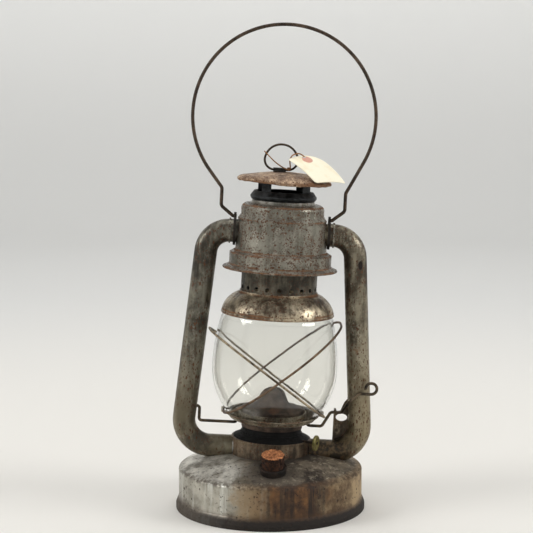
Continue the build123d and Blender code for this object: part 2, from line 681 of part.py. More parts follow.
def globe_skin():
    """Outer line of the glass, from its foot past its widest point to its top rim."""
    foot = (GLOBE_FOOT_R, GLOBE_FOOT_Z)
    belly = (GLOBE_R, GLOBE_BELLY_Z)
    shoulder = (GLOBE_SHOULDER_R, GLOBE_SHOULDER_Z)
    top = (GLOBE_TOP_R, GLOBE_TOP_Z)
    lower = TangentArc(belly, foot, tangent=(0, -1))
    upper = TangentArc(belly, shoulder, tangent=(0, 1))
    neck = ThreePointArc(shoulder, (GLOBE_TOP_R + 0.8, (GLOBE_SHOULDER_Z + GLOBE_TOP_Z) / 2), top)
    return Wire([lower.edge(), upper.edge(), neck.edge()])


def make_globe():
    return LEAN * turned_sheet(globe_skin(), GLASS, Side.RIGHT)


def make_guard_hoop(low_x, high_x, high_z, width, turn, corner_r):
    """Closed wire hoop that slants round the glass, low at one side and high at the other."""
    low = Vector(low_x, 0, GUARD_LOW_Z)
    high = Vector(high_x, 0, high_z)
    slope = degrees(atan2(high.Z - low.Z, high.X - low.X))
    outline = RectangleRounded((high - low).length, width, corner_r)
    path = (Pos((low + high) / 2) * Rot(0, -slope, 0) * Rot(turn, 0, 0) * outline).face().outer_wire()
    return LEAN * wire_along(path, GUARD_WIRE_R)


def guard_clip(side):
    """Folded tin channel on the rim of the globe plate, closed over the guard wire."""
    inner_x = GUARD_LOW_X - GUARD_WIRE_R / 2
    outer_x = GUARD_LOW_X + GUARD_WIRE_R + 0.3
    shelf = Pos((outer_x + CLIP_ROOT_X) / 2, 0, CLIP_LOW_Z + CLIP_SHEET / 2) * Box(
        outer_x - CLIP_ROOT_X, CLIP_WIDTH, CLIP_SHEET)
    leg = Pos(outer_x + CLIP_SHEET / 2, 0, (CLIP_LOW_Z + CLIP_TOP_Z) / 2) * Box(
        CLIP_SHEET, CLIP_WIDTH, CLIP_TOP_Z - CLIP_LOW_Z)
    hook = Pos((inner_x + outer_x) / 2, 0, CLIP_TOP_Z - CLIP_SHEET / 2) * Box(
        outer_x - inner_x, CLIP_WIDTH, CLIP_SHEET)
    return Rot(0, 0, 90 - 90 * side) * (shelf + leg + hook)


def make_guard_clips():
    """Two tin clips that hold the guard hoops' low ends on the rim of the globe plate."""
    return Compound(children=[LEAN * guard_clip(-1), LEAN * guard_clip(1)])


# ---- crank ----

def loop_point(angle):
    """A point on the finger loop, by its angle from +X."""
    return (LOOP_X + LOOP_R * cos(radians(angle)), CRANK_FRONT_Y, LOOP_Z + LOOP_R * sin(radians(angle)))


def make_globe_crank():
    """One wire: stub in the left tube, bow round the burner, bearing, offset and finger loop."""
    bow = CRANK_BOW_R
    y = CRANK_BOW_START_Y
    left = FilletPolyline((CRANK_END_X, 0, CRANK_Z), (CRANK_LEFT_X, 0, CRANK_Z),
                          (CRANK_LEFT_X, 0, CRANK_LOW_Z), (-bow, 0, CRANK_LOW_Z), (-bow, y, CRANK_LOW_Z),
                          radius=[2.4, 2.4, CRANK_BEND_R])
    hoop = ThreePointArc((-bow, y, CRANK_LOW_Z), (0, y + bow, CRANK_LOW_Z), (bow, y, CRANK_LOW_Z))
    right = FilletPolyline((bow, y, CRANK_LOW_Z), (bow, 0, CRANK_LOW_Z), (CRANK_RIGHT_X, 0, CRANK_LOW_Z),
                           (CRANK_AXIS_X, 0, CRANK_Z), (CRANK_TURN_X, 0, CRANK_Z), *HANDLE_POINTS,
                           loop_point(-90), radius=[CRANK_BEND_R] * 5 + [HANDLE_BEND_R])
    loop = ThreePointArc(loop_point(-90), loop_point(0), loop_point(90))
    tail = ThreePointArc(loop_point(90), loop_point(160), loop_point(LOOP_END_AZIMUTH))
    path = Wire(list(left.edges()) + [hoop.edge()] + list(right.edges()) + [loop.edge(), tail.edge()])
    return LEAN * wire_along(path, CRANK_WIRE_R)


def make_lift_bracket():
    """Gusset on the right tube: a pierced web and a turned-out edge with the crank's bearing hole."""
    low_edge = [(BRACKET_TOP_LINE[-1][0], BRACKET_LOW_Z), (BRACKET_X, BRACKET_LOW_Z)]
    web = make_face(Polyline(*BRACKET_TOP_LINE, *low_edge, BRACKET_TOP_LINE[0]))
    hole = Pos(BRACKET_HOLE_X, BRACKET_HOLE_Z) * Ellipse(BRACKET_HOLE_HALF_WIDTH, BRACKET_HOLE_HALF_HEIGHT)
    plate = Pos(0, BRACKET_BACK_Y + BRACKET_SHEET, 0) * extrude(Plane.XZ * (web - hole), BRACKET_SHEET)
    depth = BRACKET_BACK_Y + BRACKET_SHEET - BRACKET_FRONT_Y
    height = BRACKET_TOP_Z - BRACKET_LOW_Z
    flange = Pos(BRACKET_X + BRACKET_SHEET / 2, BRACKET_FRONT_Y + depth / 2,
                 BRACKET_LOW_Z + height / 2) * Box(BRACKET_SHEET, depth, height)
    bearing = rod_x(CRANK_WIRE_R + FIT, BRACKET_X - 1, BRACKET_X + 3, 0, CRANK_Z)
    tube = wire_along(tube_path(1), TUBE_R + SEAT)
    return LEAN * (plate + flange - bearing - tube)


# ---- paper tag tied to the lift ring ----

def make_tag():
    """Arched card: a Bezier patch through its four corners, thickened."""
    hole_end = [TAG_CORNERS[0], TAG_HOLE_END_CREST, TAG_CORNERS[1]]
    free_end = [TAG_CORNERS[3], TAG_FREE_END_CREST, TAG_CORNERS[2]]
    middle = [(Vector(a) + Vector(b)) / 2 + Vector(0, 0, TAG_BULGE) for a, b in zip(hole_end, free_end)]
    card = Face.make_bezier_surface([hole_end, [tuple(point) for point in middle], free_end])
    hole = Pos(*TAG_HOLE) * Cylinder(TAG_HOLE_R, 12)
    return LEAN * (thicken(card, TAG_THICK) - hole)


def make_string_knot():
    """Knot that closes the string in front of the lift ring's straight side."""
    return LEAN * Pos(*KNOT_PLACE) * Sphere(KNOT_R)


def cord_path(points):
    """Straight runs joined by the largest arcs that the runs allow."""
    corners = [Vector(point) for point in points]
    radii = []
    for before, corner, after in zip(corners, corners[1:], corners[2:]):
        turn = radians((corner - before).get_angle(after - corner))
        run = min((corner - before).length, (after - corner).length)
        radii.append(0.45 * run / tan(turn / 2))
    print("bend radii", [round(radius, 1) for radius in radii])
    return FilletPolyline(*corners, radius=radii)


def make_cord(points):
    path = cord_path(points)
    cord = wire_along(path, STRING_R)
    print("cord length", round(path.length, 1), "volume ratio",
          round(cord.volume / (pi * STRING_R ** 2 * path.length), 3))
    return LEAN * cord


PARTS = {
    "fount_shell": make_fount_shell(),
    "fount_bottom": make_fount_bottom(),
    "fount_collar": make_fount_collar(),
    "filler_neck": make_filler_neck(),
    "cork": make_cork(),
    "air_chamber": make_air_chamber(),
    "burner_deck": make_burner_deck(),
    "burner_body": make_burner_body(),
    "burner_dome": make_burner_dome(),
    "wick_tube": make_wick_tube(),
    "wick": make_wick(),
    "spur_wheels": make_spur_wheels(),
    "knob_shaft": make_knob_shaft(),
    "knob_wheel": make_knob_wheel(),
    "left_tube": make_air_tube(-1),
    "right_tube": make_air_tube(1),
    "left_ferrule": make_ferrule(-1),
    "right_ferrule": make_ferrule(1),
    "left_bail_ear": make_bail_ear(-1),
    "right_bail_ear": make_bail_ear(1),
    "bail": make_bail(),
    "canopy": make_canopy(),
    "canopy_neck": make_canopy_neck(),
    "bell": make_bell(),
    "perforated_band": make_perforated_band(),
    "chimney_tube": make_chimney_tube(),
    "vent_crown": make_vent_crown(),
    "cap": make_cap(),
    "ring_staple": make_ring_staple(),
    "lift_ring": make_lift_ring(),
    "globe_plate": make_globe_plate(),
    "globe": make_globe(),
    "left_guard_hoop": make_guard_hoop(GUARD_LOW_X, LEFT_HOOP_HIGH_X, LEFT_HOOP_HIGH_Z,
                                       LEFT_HOOP_WIDTH, LEFT_HOOP_TURN, LEFT_HOOP_CORNER_R),
    "right_guard_hoop": make_guard_hoop(-GUARD_LOW_X, RIGHT_HOOP_HIGH_X, RIGHT_HOOP_HIGH_Z,
                                        RIGHT_HOOP_WIDTH, RIGHT_HOOP_TURN, RIGHT_HOOP_CORNER_R),
    "guard_clips": make_guard_clips(),
    "globe_crank": make_globe_crank(),
    "tag": make_tag(),
    "string_knot": make_string_knot(),
    "tag_string": make_cord(STRING_POINTS),
    "lift_bracket": make_lift_bracket(),
}

os.makedirs("parts", exist_ok=True)
for name, shape in PARTS.items():
    export_step(shape, f"parts/{name}.step")
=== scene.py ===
import math

import bmesh
import bpy
from mathutils import Matrix, Vector, noise


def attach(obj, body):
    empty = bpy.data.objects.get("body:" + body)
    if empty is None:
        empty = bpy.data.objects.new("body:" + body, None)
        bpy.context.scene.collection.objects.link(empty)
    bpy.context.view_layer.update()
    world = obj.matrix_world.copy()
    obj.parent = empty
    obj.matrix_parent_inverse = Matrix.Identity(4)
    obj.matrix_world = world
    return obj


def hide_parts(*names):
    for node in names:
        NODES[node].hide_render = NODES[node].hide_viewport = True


# The barn lantern's looks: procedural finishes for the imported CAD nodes, and detailed pieces for
# the dented cap, the rusted burner dome, the cork, the wick, the paper tag and its string.
# The scene and the finishes are in metres, in the row's frame; the points and profiles of pieces,
# and the heights of ribs, are in millimetres.  "Upright" coordinates are those of the lantern
# before its bent frame leans towards +X.

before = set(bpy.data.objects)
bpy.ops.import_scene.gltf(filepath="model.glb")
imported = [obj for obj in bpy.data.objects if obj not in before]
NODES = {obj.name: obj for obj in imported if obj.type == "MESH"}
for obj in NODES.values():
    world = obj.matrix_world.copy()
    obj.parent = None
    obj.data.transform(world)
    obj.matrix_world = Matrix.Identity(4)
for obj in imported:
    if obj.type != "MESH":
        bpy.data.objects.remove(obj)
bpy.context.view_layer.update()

LEAN = math.radians(2.9)
PIVOT = Vector((0.0, 0.0, 0.047))
LEANING = Matrix.Translation(PIVOT) @ Matrix.Rotation(LEAN, 4, "Y") @ Matrix.Translation(-PIVOT)
MM = 0.001


def leaned(point):
    """A point in upright millimetres, as metres in the row frame."""
    return LEANING @ (Vector(point) * MM)


# ---- camera ----

CAMERA_PLACE = (0.0, -1.25, 0.355)
CAMERA_PITCH = 6.59
CAMERA_TURN = 0.15
LENS = 98.5
SENSOR_WIDTH = 36.0


def make_camera():
    data = bpy.data.cameras.new("camera")
    data.lens = LENS
    data.sensor_width = SENSOR_WIDTH
    camera = bpy.data.objects.new("camera", data)
    camera.location = CAMERA_PLACE
    camera.rotation_euler = (math.radians(90 - CAMERA_PITCH), 0, math.radians(CAMERA_TURN))
    bpy.context.collection.objects.link(camera)
    bpy.context.scene.camera = camera


# ---- building pieces ----

JOIN_DISTANCE = 0.001 * MM


def add_object(name, data):
    made = bpy.data.objects.new(name, data)
    bpy.context.collection.objects.link(made)
    return made


def mesh_piece(name, points, faces, material):
    """A smooth mesh, with points that coincide joined and its faces turned outwards."""
    data = bpy.data.meshes.new(name)
    data.from_pydata([tuple(point) for point in points], [], faces)
    work = bmesh.new()
    work.from_mesh(data)
    bmesh.ops.remove_doubles(work, verts=work.verts, dist=JOIN_DISTANCE)
    bmesh.ops.recalc_face_normals(work, faces=work.faces)
    work.to_mesh(data)
    work.free()
    data.shade_smooth()
    data.materials.append(material)
    return add_object(name, data)


def grid_faces(rows, turns, closed=True):
    """Quads between rows of points, joined round when closed."""
    faces = []
    for i in range(rows - 1):
        for k in range(turns if closed else turns - 1):
            j = (k + 1) % turns
            faces.append((i * turns + k, i * turns + j, (i + 1) * turns + j, (i + 1) * turns + k))
    return faces


def on_circle(angle, radius, height):
    """The point at an angle round the Z axis."""
    return radius * math.cos(angle), radius * math.sin(angle), height


def turned(profile, turns, shape=on_circle):
    """Points of a profile turned round Z, each placed by shape(angle, radius, height)."""
    return [shape(2 * math.pi * k / turns, radius, height)
            for radius, height in profile for k in range(turns)]


def place_piece(piece, body, slot, *nodes):
    """Rides on a body and stands for CAD nodes, which it hides; the slot is not used."""
    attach(piece, body)
    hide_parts(*nodes)
    return piece


# ---- node building ----

def linear(colour):
    """An 8-bit sRGB colour as linear RGBA, by the sRGB standard's own constants."""
    parts = [c / 255 for c in colour]
    return [c / 12.92 if c <= 0.04045 else ((c + 0.055) / 1.055) ** 2.4 for c in parts] + [1.0]


class Paint:
    """Builds one procedural material.  With upright, its coordinates don't lean with the frame."""

    def __init__(self, name, upright=True, **fixed):
        self.material = bpy.data.materials.new(name)
        self.material.use_nodes = True
        self.tree = self.material.node_tree
        self.shader = self.tree.nodes["Principled BSDF"]
        for key, value in fixed.items():
            self.shader.inputs[key.replace("_", " ")].default_value = value
        self.place = self.add("TexCoord").outputs["Object"]
        if upright:
            turn = {"Vector": self.place, "Center": PIVOT, "Axis": (0, 1, 0), "Angle": -LEAN}
            self.place = self.add("VectorRotate", turn).outputs[0]
        self.x, self.y, self.z = self.add("SeparateXYZ", {0: self.place}).outputs

    def add(self, kind, inputs=(), **settings):
        made = self.tree.nodes.new("ShaderNode" + kind)
        for key, value in settings.items():
            setattr(made, key, value)
        for key, value in dict(inputs).items():
            if isinstance(value, bpy.types.NodeSocket):
                self.tree.links.new(value, made.inputs[key])
            else:
                made.inputs[key].default_value = value
        return made

    def calc(self, operation, *values, clamp=False):
        return self.add("Math", enumerate(values), operation=operation, use_clamp=clamp).outputs[0]

    def spread(self, scale, stretch, shift):
        inputs = {0: self.place, 1: [scale * s for s in stretch], 2: (shift, 1.7 * shift, 2.3 * shift)}
        return self.add("VectorMath", inputs, operation="MULTIPLY_ADD").outputs[0]

    def noise(self, scale, detail=6.0, rough=0.6, stretch=(1, 1, 1), shift=0.0):
        inputs = {"Vector": self.spread(scale, stretch, shift), "Scale": 1.0, "Detail": detail,
                  "Roughness": rough}
        return self.add("TexNoise", inputs).outputs[0]

    def cells(self, scale, stretch=(1, 1, 1), shift=0.0):
        """Distance to the nearest of a scatter of points."""
        inputs = {"Vector": self.spread(scale, stretch, shift), "Scale": 1.0}
        return self.add("TexVoronoi", inputs).outputs[0]

    def step(self, value, low, high, to_low=0.0, to_high=1.0):
        """Goes smoothly from to_low to to_high as value goes from low to high."""
        inputs = {"Value": value, "From Min": low, "From Max": high, "To Min": to_low,
                  "To Max": to_high}
        return self.add("MapRange", inputs, interpolation_type="SMOOTHSTEP").outputs[0]

    def band(self, value, centre, half):
        """1 where value is centre, 0 beyond half away from it."""
        away = self.calc("ABSOLUTE", self.calc("SUBTRACT", value, centre))
        return self.step(away, half, 0.0)

    def most(self, values):
        top = values[0]
        for value in values[1:]:
            top = self.calc("MAXIMUM", top, value)
        return top

    def blend(self, mask, under, over):
        inputs = {0: mask, 6: under, 7: over}
        return self.add("Mix", inputs, data_type="RGBA").outputs[2]

    def bump(self, height, distance, strength=1.0):
        inputs = {"Height": height, "Distance": distance, "Strength": strength}
        self.plug("Normal", self.add("Bump", inputs).outputs[0])

    def plug(self, name, socket):
        self.tree.links.new(socket, self.shader.inputs[name])

    def distance(self, along, across):
        squared = self.calc("MULTIPLY", across, across)
        return self.calc("SQRT", self.calc("MULTIPLY_ADD", along, along, squared))

    def radius(self):
        """Distance from the lantern's axis."""
        return self.distance(self.y, self.x)


# ---- finishes ----

RUST_DARK = linear((62, 42, 30))
RUST_LIGHT = linear((150, 104, 66))
PIT_DARK = linear((40, 27, 20))
PIT_LIGHT = linear((112, 70, 44))
SOOT = linear((9, 8, 8))
# Half width and half height of the painted shade of a dent.
DENT_SHADE_HALF_WIDTH = 2.1 * MM
DENT_SHADE_HALF_HEIGHT = 4.2 * MM
# Where the right tube's lowest bend turns darker.
DARK_FOOT_TOP_Z = 0.078
DARK_FOOT_OUTER_X = 0.092


def near_ribs(p, ribs, half):
    """1 on each of the rib heights, given in upright millimetres, and 0 beyond half from it."""
    return p.most([p.band(p.z, z * MM, half) for z in ribs])


def rust_pits(p, edge, ribs, rib_half, shift, specks, speck_half, speck_tall):
    """Where small dark rust pits lie: in loose groups, and more of them by the ribs."""
    fine = p.step(p.noise(460, 4, 0.7, shift=shift + 6), 0.655 - specks, 0.69 - specks)
    where = p.noise(52, 5, 0.75, shift=shift + 7)
    if ribs:
        where = p.calc("MULTIPLY_ADD", near_ribs(p, ribs, 3 * rib_half), 0.13, where)
    where = p.step(where, speck_half - 0.06, speck_half + 0.05)
    wobble = p.calc("MULTIPLY", edge, 0.22)
    tall = (1, 1, speck_tall)
    large = p.calc("SUBTRACT", p.cells(300, tall, shift + 1), wobble)
    small = p.calc("SUBTRACT", p.cells(640, tall, shift + 10), wobble)
    dots = p.most([p.step(large, 0.10 + specks, 0.03 + specks),
                   p.step(small, 0.14 + specks, 0.06 + specks)])
    return p.most([p.calc("MULTIPLY", fine, where), p.calc("MULTIPLY", dots, where)])


def dent_shade_spot(p, colour, edge, spot):
    """Painted shade of a dent: a ragged dark patch on the front, at spot's X and Z in upright metres."""
    dx = p.calc("DIVIDE", p.calc("SUBTRACT", p.x, spot[0]), DENT_SHADE_HALF_WIDTH)
    dz = p.calc("DIVIDE", p.calc("SUBTRACT", p.z, spot[1]), DENT_SHADE_HALF_HEIGHT)
    away = p.calc("MULTIPLY_ADD", edge, 0.5, p.distance(dx, dz))
    in_front = p.step(p.y, -0.003, -0.005)
    dent_shade = p.calc("MULTIPLY", p.step(away, 1.3, 1.0), in_front)
    return p.blend(dent_shade, colour, linear((34, 24, 20)))


def darkened_foot(p, colour, mottle, edge):
    """Darker colour on the lowest bend of the right tube, where it turns in over the fount."""
    low = p.step(p.calc("MULTIPLY_ADD", mottle, 0.016, p.z), DARK_FOOT_TOP_Z, DARK_FOOT_TOP_Z - 0.012)
    inner = p.step(p.calc("MULTIPLY_ADD", mottle, 0.03, p.x), DARK_FOOT_OUTER_X, DARK_FOOT_OUTER_X - 0.018)
    foot_tone = p.blend(p.step(edge, 0.42, 0.6), linear((30, 25, 20)), linear((92, 74, 52)))
    return p.blend(p.calc("MULTIPLY", p.calc("MULTIPLY", low, inner), 0.9), colour, foot_tone)


def aged_tin(name, light, dark, film=0.0, specks=0.0, metal=0.6, rough=0.46, ribs=(),
             rib_half=0.0022, rib_push=0.17, shift=0.0, dirt=0.62, speck_half=0.5, speck_tall=1.0,
             low_tint=None, spot=None, dark_foot=False, soot_r=0.0):
    """Dull tinplate: mottled grey, a brown rust film in patches and on the ribs, dark rust pits."""
    p = Paint(name, Metallic=metal, Specular_IOR_Level=0.5)
    mottle = p.noise(34, 8, 0.68, shift=shift)
    rolled = p.noise(60, 5, 0.6, stretch=(3.0, 3.0, 0.35), shift=shift + 4)
    tone = p.step(p.calc("MULTIPLY_ADD", rolled, 0.45, p.calc("MULTIPLY", mottle, 0.75)), 0.49, 0.71)
    colour = p.blend(tone, linear(dark), linear(light))
    if low_tint:
        low = p.step(p.calc("MULTIPLY_ADD", mottle, 0.05, p.z), 0.2, 0.09)
        colour = p.blend(p.calc("MULTIPLY", low, 0.6), colour, linear(low_tint))
    scuffs = p.step(p.noise(95, 9, 0.78, stretch=(1, 1, 0.55), shift=shift + 12), 0.56, 0.64)
    colour = p.blend(p.calc("MULTIPLY", scuffs, 0.55), colour, linear([min(255, c + 34) for c in light]))
    grime = p.step(p.noise(26, 7, 0.7, stretch=(1.6, 1.6, 0.8), shift=shift + 15), 0.5, 0.66)
    colour = p.blend(p.calc("MULTIPLY", grime, dirt), colour, linear([0.55 * c for c in dark]))
    patch = p.noise(48, 10, 0.72, shift=shift + 9)
    edge = p.noise(300, 4, 0.7, shift=shift + 2)
    ragged = p.calc("MULTIPLY_ADD", edge, 0.22, patch)
    if ribs:
        ragged = p.calc("MULTIPLY_ADD", near_ribs(p, ribs, rib_half), rib_push, ragged)
    rust = p.step(ragged, 0.78 - film, 0.88 - film)
    rust_tone = p.blend(p.noise(170, 5, 0.7, shift=shift + 5), RUST_DARK, RUST_LIGHT)
    colour = p.blend(p.calc("MULTIPLY", rust, 0.85), colour, rust_tone)
    pits = rust_pits(p, edge, ribs, rib_half, shift, specks, speck_half, speck_tall)
    pit_tone = p.blend(p.noise(130, 4, 0.7, shift=shift + 8), PIT_DARK, PIT_LIGHT)
    colour = p.blend(p.calc("MULTIPLY", pits, 0.95), colour, pit_tone)
    # Painted shade of a dent, at spot.
    if spot:
        colour = dent_shade_spot(p, colour, edge, spot)
    # Darker colour on the right tube's lowest bend.
    if dark_foot:
        colour = darkened_foot(p, colour, mottle, edge)
    if soot_r:
        inside = p.step(p.calc("MULTIPLY_ADD", edge, 0.0003, p.radius()), soot_r + 0.0004, soot_r)
        colour = p.blend(inside, colour, SOOT)
    p.plug("Base Color", colour)
    worn = p.most([rust, pits, p.calc("MULTIPLY", grime, 0.5)])
    p.plug("Roughness", p.step(worn, 0.0, 1.0, rough, 0.86))
    p.plug("Metallic", p.step(worn, 0.0, 1.0, metal, 0.1))
    height = p.calc("MULTIPLY_ADD", edge, 0.35, p.calc("MULTIPLY_ADD", pits, -0.5, mottle))
    p.bump(height, 0.0007, 0.55)
    return p.material


FILLER_PLACE = (2.3, -55.7, 43.7)
FILLER_TILT = math.radians(14.5)
SHOULDER_Z = 0.0385
SHOULDER_HALF = 0.0034
SKIRT_TOP_Z = 0.021
FOOT_TOP_Z = 0.0125
SOOT_OUTER_R = 0.042
SOOT_INNER_R = 0.018


def silver_tin(p, mottle, runs):
    """Bright tin with pale runs down it."""
    silver = p.blend(p.step(mottle, 0.35, 0.68), linear((138, 134, 123)), linear((196, 192, 180)))
    return p.blend(p.step(runs, 0.5, 0.66), silver, linear((214, 214, 206)))


def brown_tin(p, mottle, runs):
    """Rusted tin with dark streaks and pale runs, turning tan towards +X."""
    streaks = p.noise(75, 6, 0.7, stretch=(2.2, 2.2, 0.12), shift=17)
    rust = p.step(p.noise(55, 9, 0.7, shift=11), 0.36, 0.66)
    brown = p.blend(rust, linear((56, 38, 25)), linear((126, 88, 52)))
    brown = p.blend(p.step(streaks, 0.46, 0.62), brown, linear((42, 32, 25)))
    brown = p.blend(p.step(runs, 0.56, 0.68), brown, linear((128, 106, 78)))
    side = p.calc("MULTIPLY_ADD", p.noise(34, 8, 0.7, shift=1), 0.06, p.x)
    tan = p.blend(p.step(mottle, 0.4, 0.62), linear((92, 72, 50)), linear((164, 142, 108)))
    return p.blend(p.step(side, 0.062, 0.092), brown, tan)


def fount_top(p, mottle):
    """Dark tin with pale spots; towards -X, the lit side, a painted highlight with scuffs in it."""
    spots = p.step(p.noise(150, 9, 0.8, shift=21), 0.53, 0.6)
    tone = p.blend(p.step(mottle, 0.42, 0.6), linear((34, 29, 25)), linear((112, 102, 88)))
    tone = p.blend(p.calc("MULTIPLY", spots, 0.7), tone, linear((176, 164, 142)))
    # Painted highlight, partly scuffed tin: the top turns pale towards -X, the lit side.
    scuffs_and_highlight = p.step(p.calc("MULTIPLY_ADD", mottle, 0.07, p.x), 0.03, 0.0)
    highlight_and_scuff_tone = p.blend(p.step(p.noise(42, 9, 0.72, shift=25), 0.38, 0.56), linear((118, 111, 98)),
                     linear((228, 224, 214)))
    return p.blend(p.calc("MULTIPLY", scuffs_and_highlight, 0.9), tone, highlight_and_scuff_tone)


def fount_paint():
    """Silvery with pale runs on the left, brown rust to the right, dark at the foot and the neck."""
    p = Paint("fount_finish", False, Metallic=0.5)
    mottle = p.noise(30, 9, 0.7, shift=2)
    runs = p.noise(40, 5, 0.65, stretch=(2.4, 2.4, 0.16), shift=5)
    edge = p.noise(260, 5, 0.7, shift=8)
    across = p.calc("MULTIPLY_ADD", mottle, 0.07, p.calc("MULTIPLY_ADD", edge, 0.02, p.x))
    rusty = p.step(across, 0.016, 0.05)
    yellow = p.calc("MULTIPLY", p.step(across, 0.006, 0.024), p.step(across, 0.052, 0.03))
    colour = p.blend(rusty, silver_tin(p, mottle, runs), brown_tin(p, mottle, runs))
    colour = p.blend(p.calc("MULTIPLY", yellow, 0.6), colour, linear((138, 108, 62)))
    on_top = p.step(p.z, SHOULDER_Z - 0.003, SHOULDER_Z)
    colour = p.blend(p.calc("MULTIPLY", on_top, 0.92), colour, fount_top(p, mottle))
    dx = p.calc("SUBTRACT", p.x, FILLER_PLACE[0] * MM)
    dy = p.calc("SUBTRACT", p.y, FILLER_PLACE[1] * MM)
    from_neck = p.calc("MULTIPLY_ADD", mottle, 0.018, p.distance(dx, dy))
    soot = p.step(from_neck, SOOT_OUTER_R, SOOT_INNER_R)
    colour = p.blend(p.calc("MULTIPLY", soot, 0.75), colour, linear((44, 38, 34)))
    shadowed = p.step(p.calc("MULTIPLY_ADD", mottle, 0.02, p.radius()), 0.056, 0.044)
    shadowed = p.calc("MULTIPLY", shadowed, p.step(p.x, -0.04, 0.01, 0.35, 0.85))
    colour = p.blend(shadowed, colour, linear((46, 41, 36)))
    shoulder = p.band(p.calc("MULTIPLY_ADD", mottle, 0.006, p.z), SHOULDER_Z, SHOULDER_HALF)
    rim = p.calc("MULTIPLY", shoulder, p.step(edge, 0.38, 0.58))
    colour = p.blend(p.calc("MULTIPLY", rim, 0.75), colour, linear((58, 42, 30)))
    skirt = p.step(p.calc("MULTIPLY_ADD", mottle, 0.012, p.z), SKIRT_TOP_Z, SKIRT_TOP_Z - 0.007)
    colour = p.blend(p.calc("MULTIPLY", skirt, 0.7), colour, linear((70, 50, 34)))
    foot = p.step(p.calc("MULTIPLY_ADD", edge, 0.004, p.z), FOOT_TOP_Z, FOOT_TOP_Z - 0.004)
    dark_foot = p.calc("MULTIPLY", foot, p.step(across, -0.045, 0.03, 0.5, 0.97))
    colour = p.blend(dark_foot, colour, linear((28, 23, 20)))
    fine = p.step(p.noise(400, 4, 0.7, shift=3), 0.58, 0.63)
    where = p.step(p.noise(60, 5, 0.75, shift=9), 0.42, 0.54)
    dots = p.calc("MULTIPLY", p.step(p.cells(150, shift=4), 0.22, 0.1), where)
    pits = p.most([p.calc("MULTIPLY", fine, where), dots])
    colour = p.blend(p.calc("MULTIPLY", pits, 0.85), colour, linear((42, 29, 21)))
    p.plug("Base Color", colour)
    worn = p.most([p.calc("MULTIPLY", rusty, 0.6), soot, rim, foot, pits])
    p.plug("Roughness", p.step(worn, 0.0, 1.0, 0.4, 0.82))
    p.plug("Metallic", p.step(worn, 0.0, 1.0, 0.62, 0.12))
    height = p.calc("MULTIPLY_ADD", edge, 0.3, p.calc("MULTIPLY_ADD", pits, -0.5, mottle))
    p.bump(height, 0.0009, 0.55)
    return p.material


def iron(name, dark, light, rough=0.6, metal=0.5, bump=0.0004, shift=0.0):
    """Blackened or rusted iron: two tones in a coarse and a fine mottle."""
    p = Paint(name, Metallic=metal)
    coarse = p.noise(70, 6, 0.7, shift=shift)
    fine = p.noise(240, 6, 0.72, shift=shift + 3)
    tone = p.step(p.calc("MULTIPLY_ADD", fine, 0.5, p.calc("MULTIPLY", coarse, 0.6)), 0.44, 0.7)
    p.plug("Base Color", p.blend(tone, linear(dark), linear(light)))
    p.plug("Roughness", p.step(fine, 0.3, 0.7, rough - 0.12, rough + 0.16))
    p.bump(p.calc("MULTIPLY_ADD", fine, 0.6, coarse), bump, 0.6)
    return p.material


def glass_paint():
    """Clear, slightly wavy glass with a haze in patches."""
    p = Paint("glass_finish", Transmission_Weight=1.0, IOR=1.46, Metallic=0.0)
    p.shader.inputs["Base Color"].default_value = linear((246, 246, 243))
    haze = p.noise(26, 5, 0.6, stretch=(1, 1, 0.4))
    p.plug("Roughness", p.step(haze, 0.5, 0.8, 0.0, 0.09))
    p.bump(p.noise(18, 2, 0.4, stretch=(1, 1, 0.5)), 0.0006, 0.25)
    return p.material


def brass_paint(name, dark, light):
    """Tarnished brass in two tones."""
    p = Paint(name, Metallic=0.75)
    tone = p.step(p.noise(210, 6, 0.7), 0.36, 0.64)
    p.plug("Base Color", p.blend(tone, linear(dark), linear(light)))
    p.plug("Roughness", p.step(p.noise(120, 4, 0.6, shift=4), 0.3, 0.7, 0.34, 0.62))
    p.bump(p.noise(500, 3, 0.6), 0.0002, 0.5)
    return p.material


CORK_SOOT_Z = 0.0168


def cork_paint():
    """Reddish crumbled cork on its top, sooty bark on its sides, parted along the cork's own axis."""
    p = Paint("cork_finish", False, Metallic=0.0, Specular_IOR_Level=0.25)
    grain = p.noise(330, 6, 0.75)
    pores = p.step(p.cells(420, shift=3), 0.3, 0.12)
    colour = p.blend(p.step(grain, 0.38, 0.62), linear((104, 60, 36)), linear((196, 132, 88)))
    colour = p.blend(p.calc("MULTIPLY", pores, 0.55), colour, linear((70, 38, 24)))
    dy = p.calc("SUBTRACT", p.y, FILLER_PLACE[1] * MM)
    dz = p.calc("SUBTRACT", p.z, FILLER_PLACE[2] * MM)
    forward = p.calc("MULTIPLY", dy, -math.sin(FILLER_TILT))
    height = p.calc("MULTIPLY_ADD", dz, math.cos(FILLER_TILT), forward)
    sooty = p.step(p.calc("MULTIPLY_ADD", grain, 0.0022, height), CORK_SOOT_Z + 0.0008, CORK_SOOT_Z)
    bark = p.blend(p.step(grain, 0.4, 0.62), linear((20, 14, 11)), linear((56, 35, 25)))
    colour = p.blend(p.calc("MULTIPLY", sooty, 0.97), colour, bark)
    p.plug("Base Color", colour)
    p.plug("Roughness", p.step(grain, 0.2, 0.8, 0.78, 0.95))
    p.bump(p.calc("MULTIPLY_ADD", pores, -0.6, grain), 0.0007, 0.8)
    return p.material


THREADS = 9000.0
WICK_CHAR_Z = 0.0945


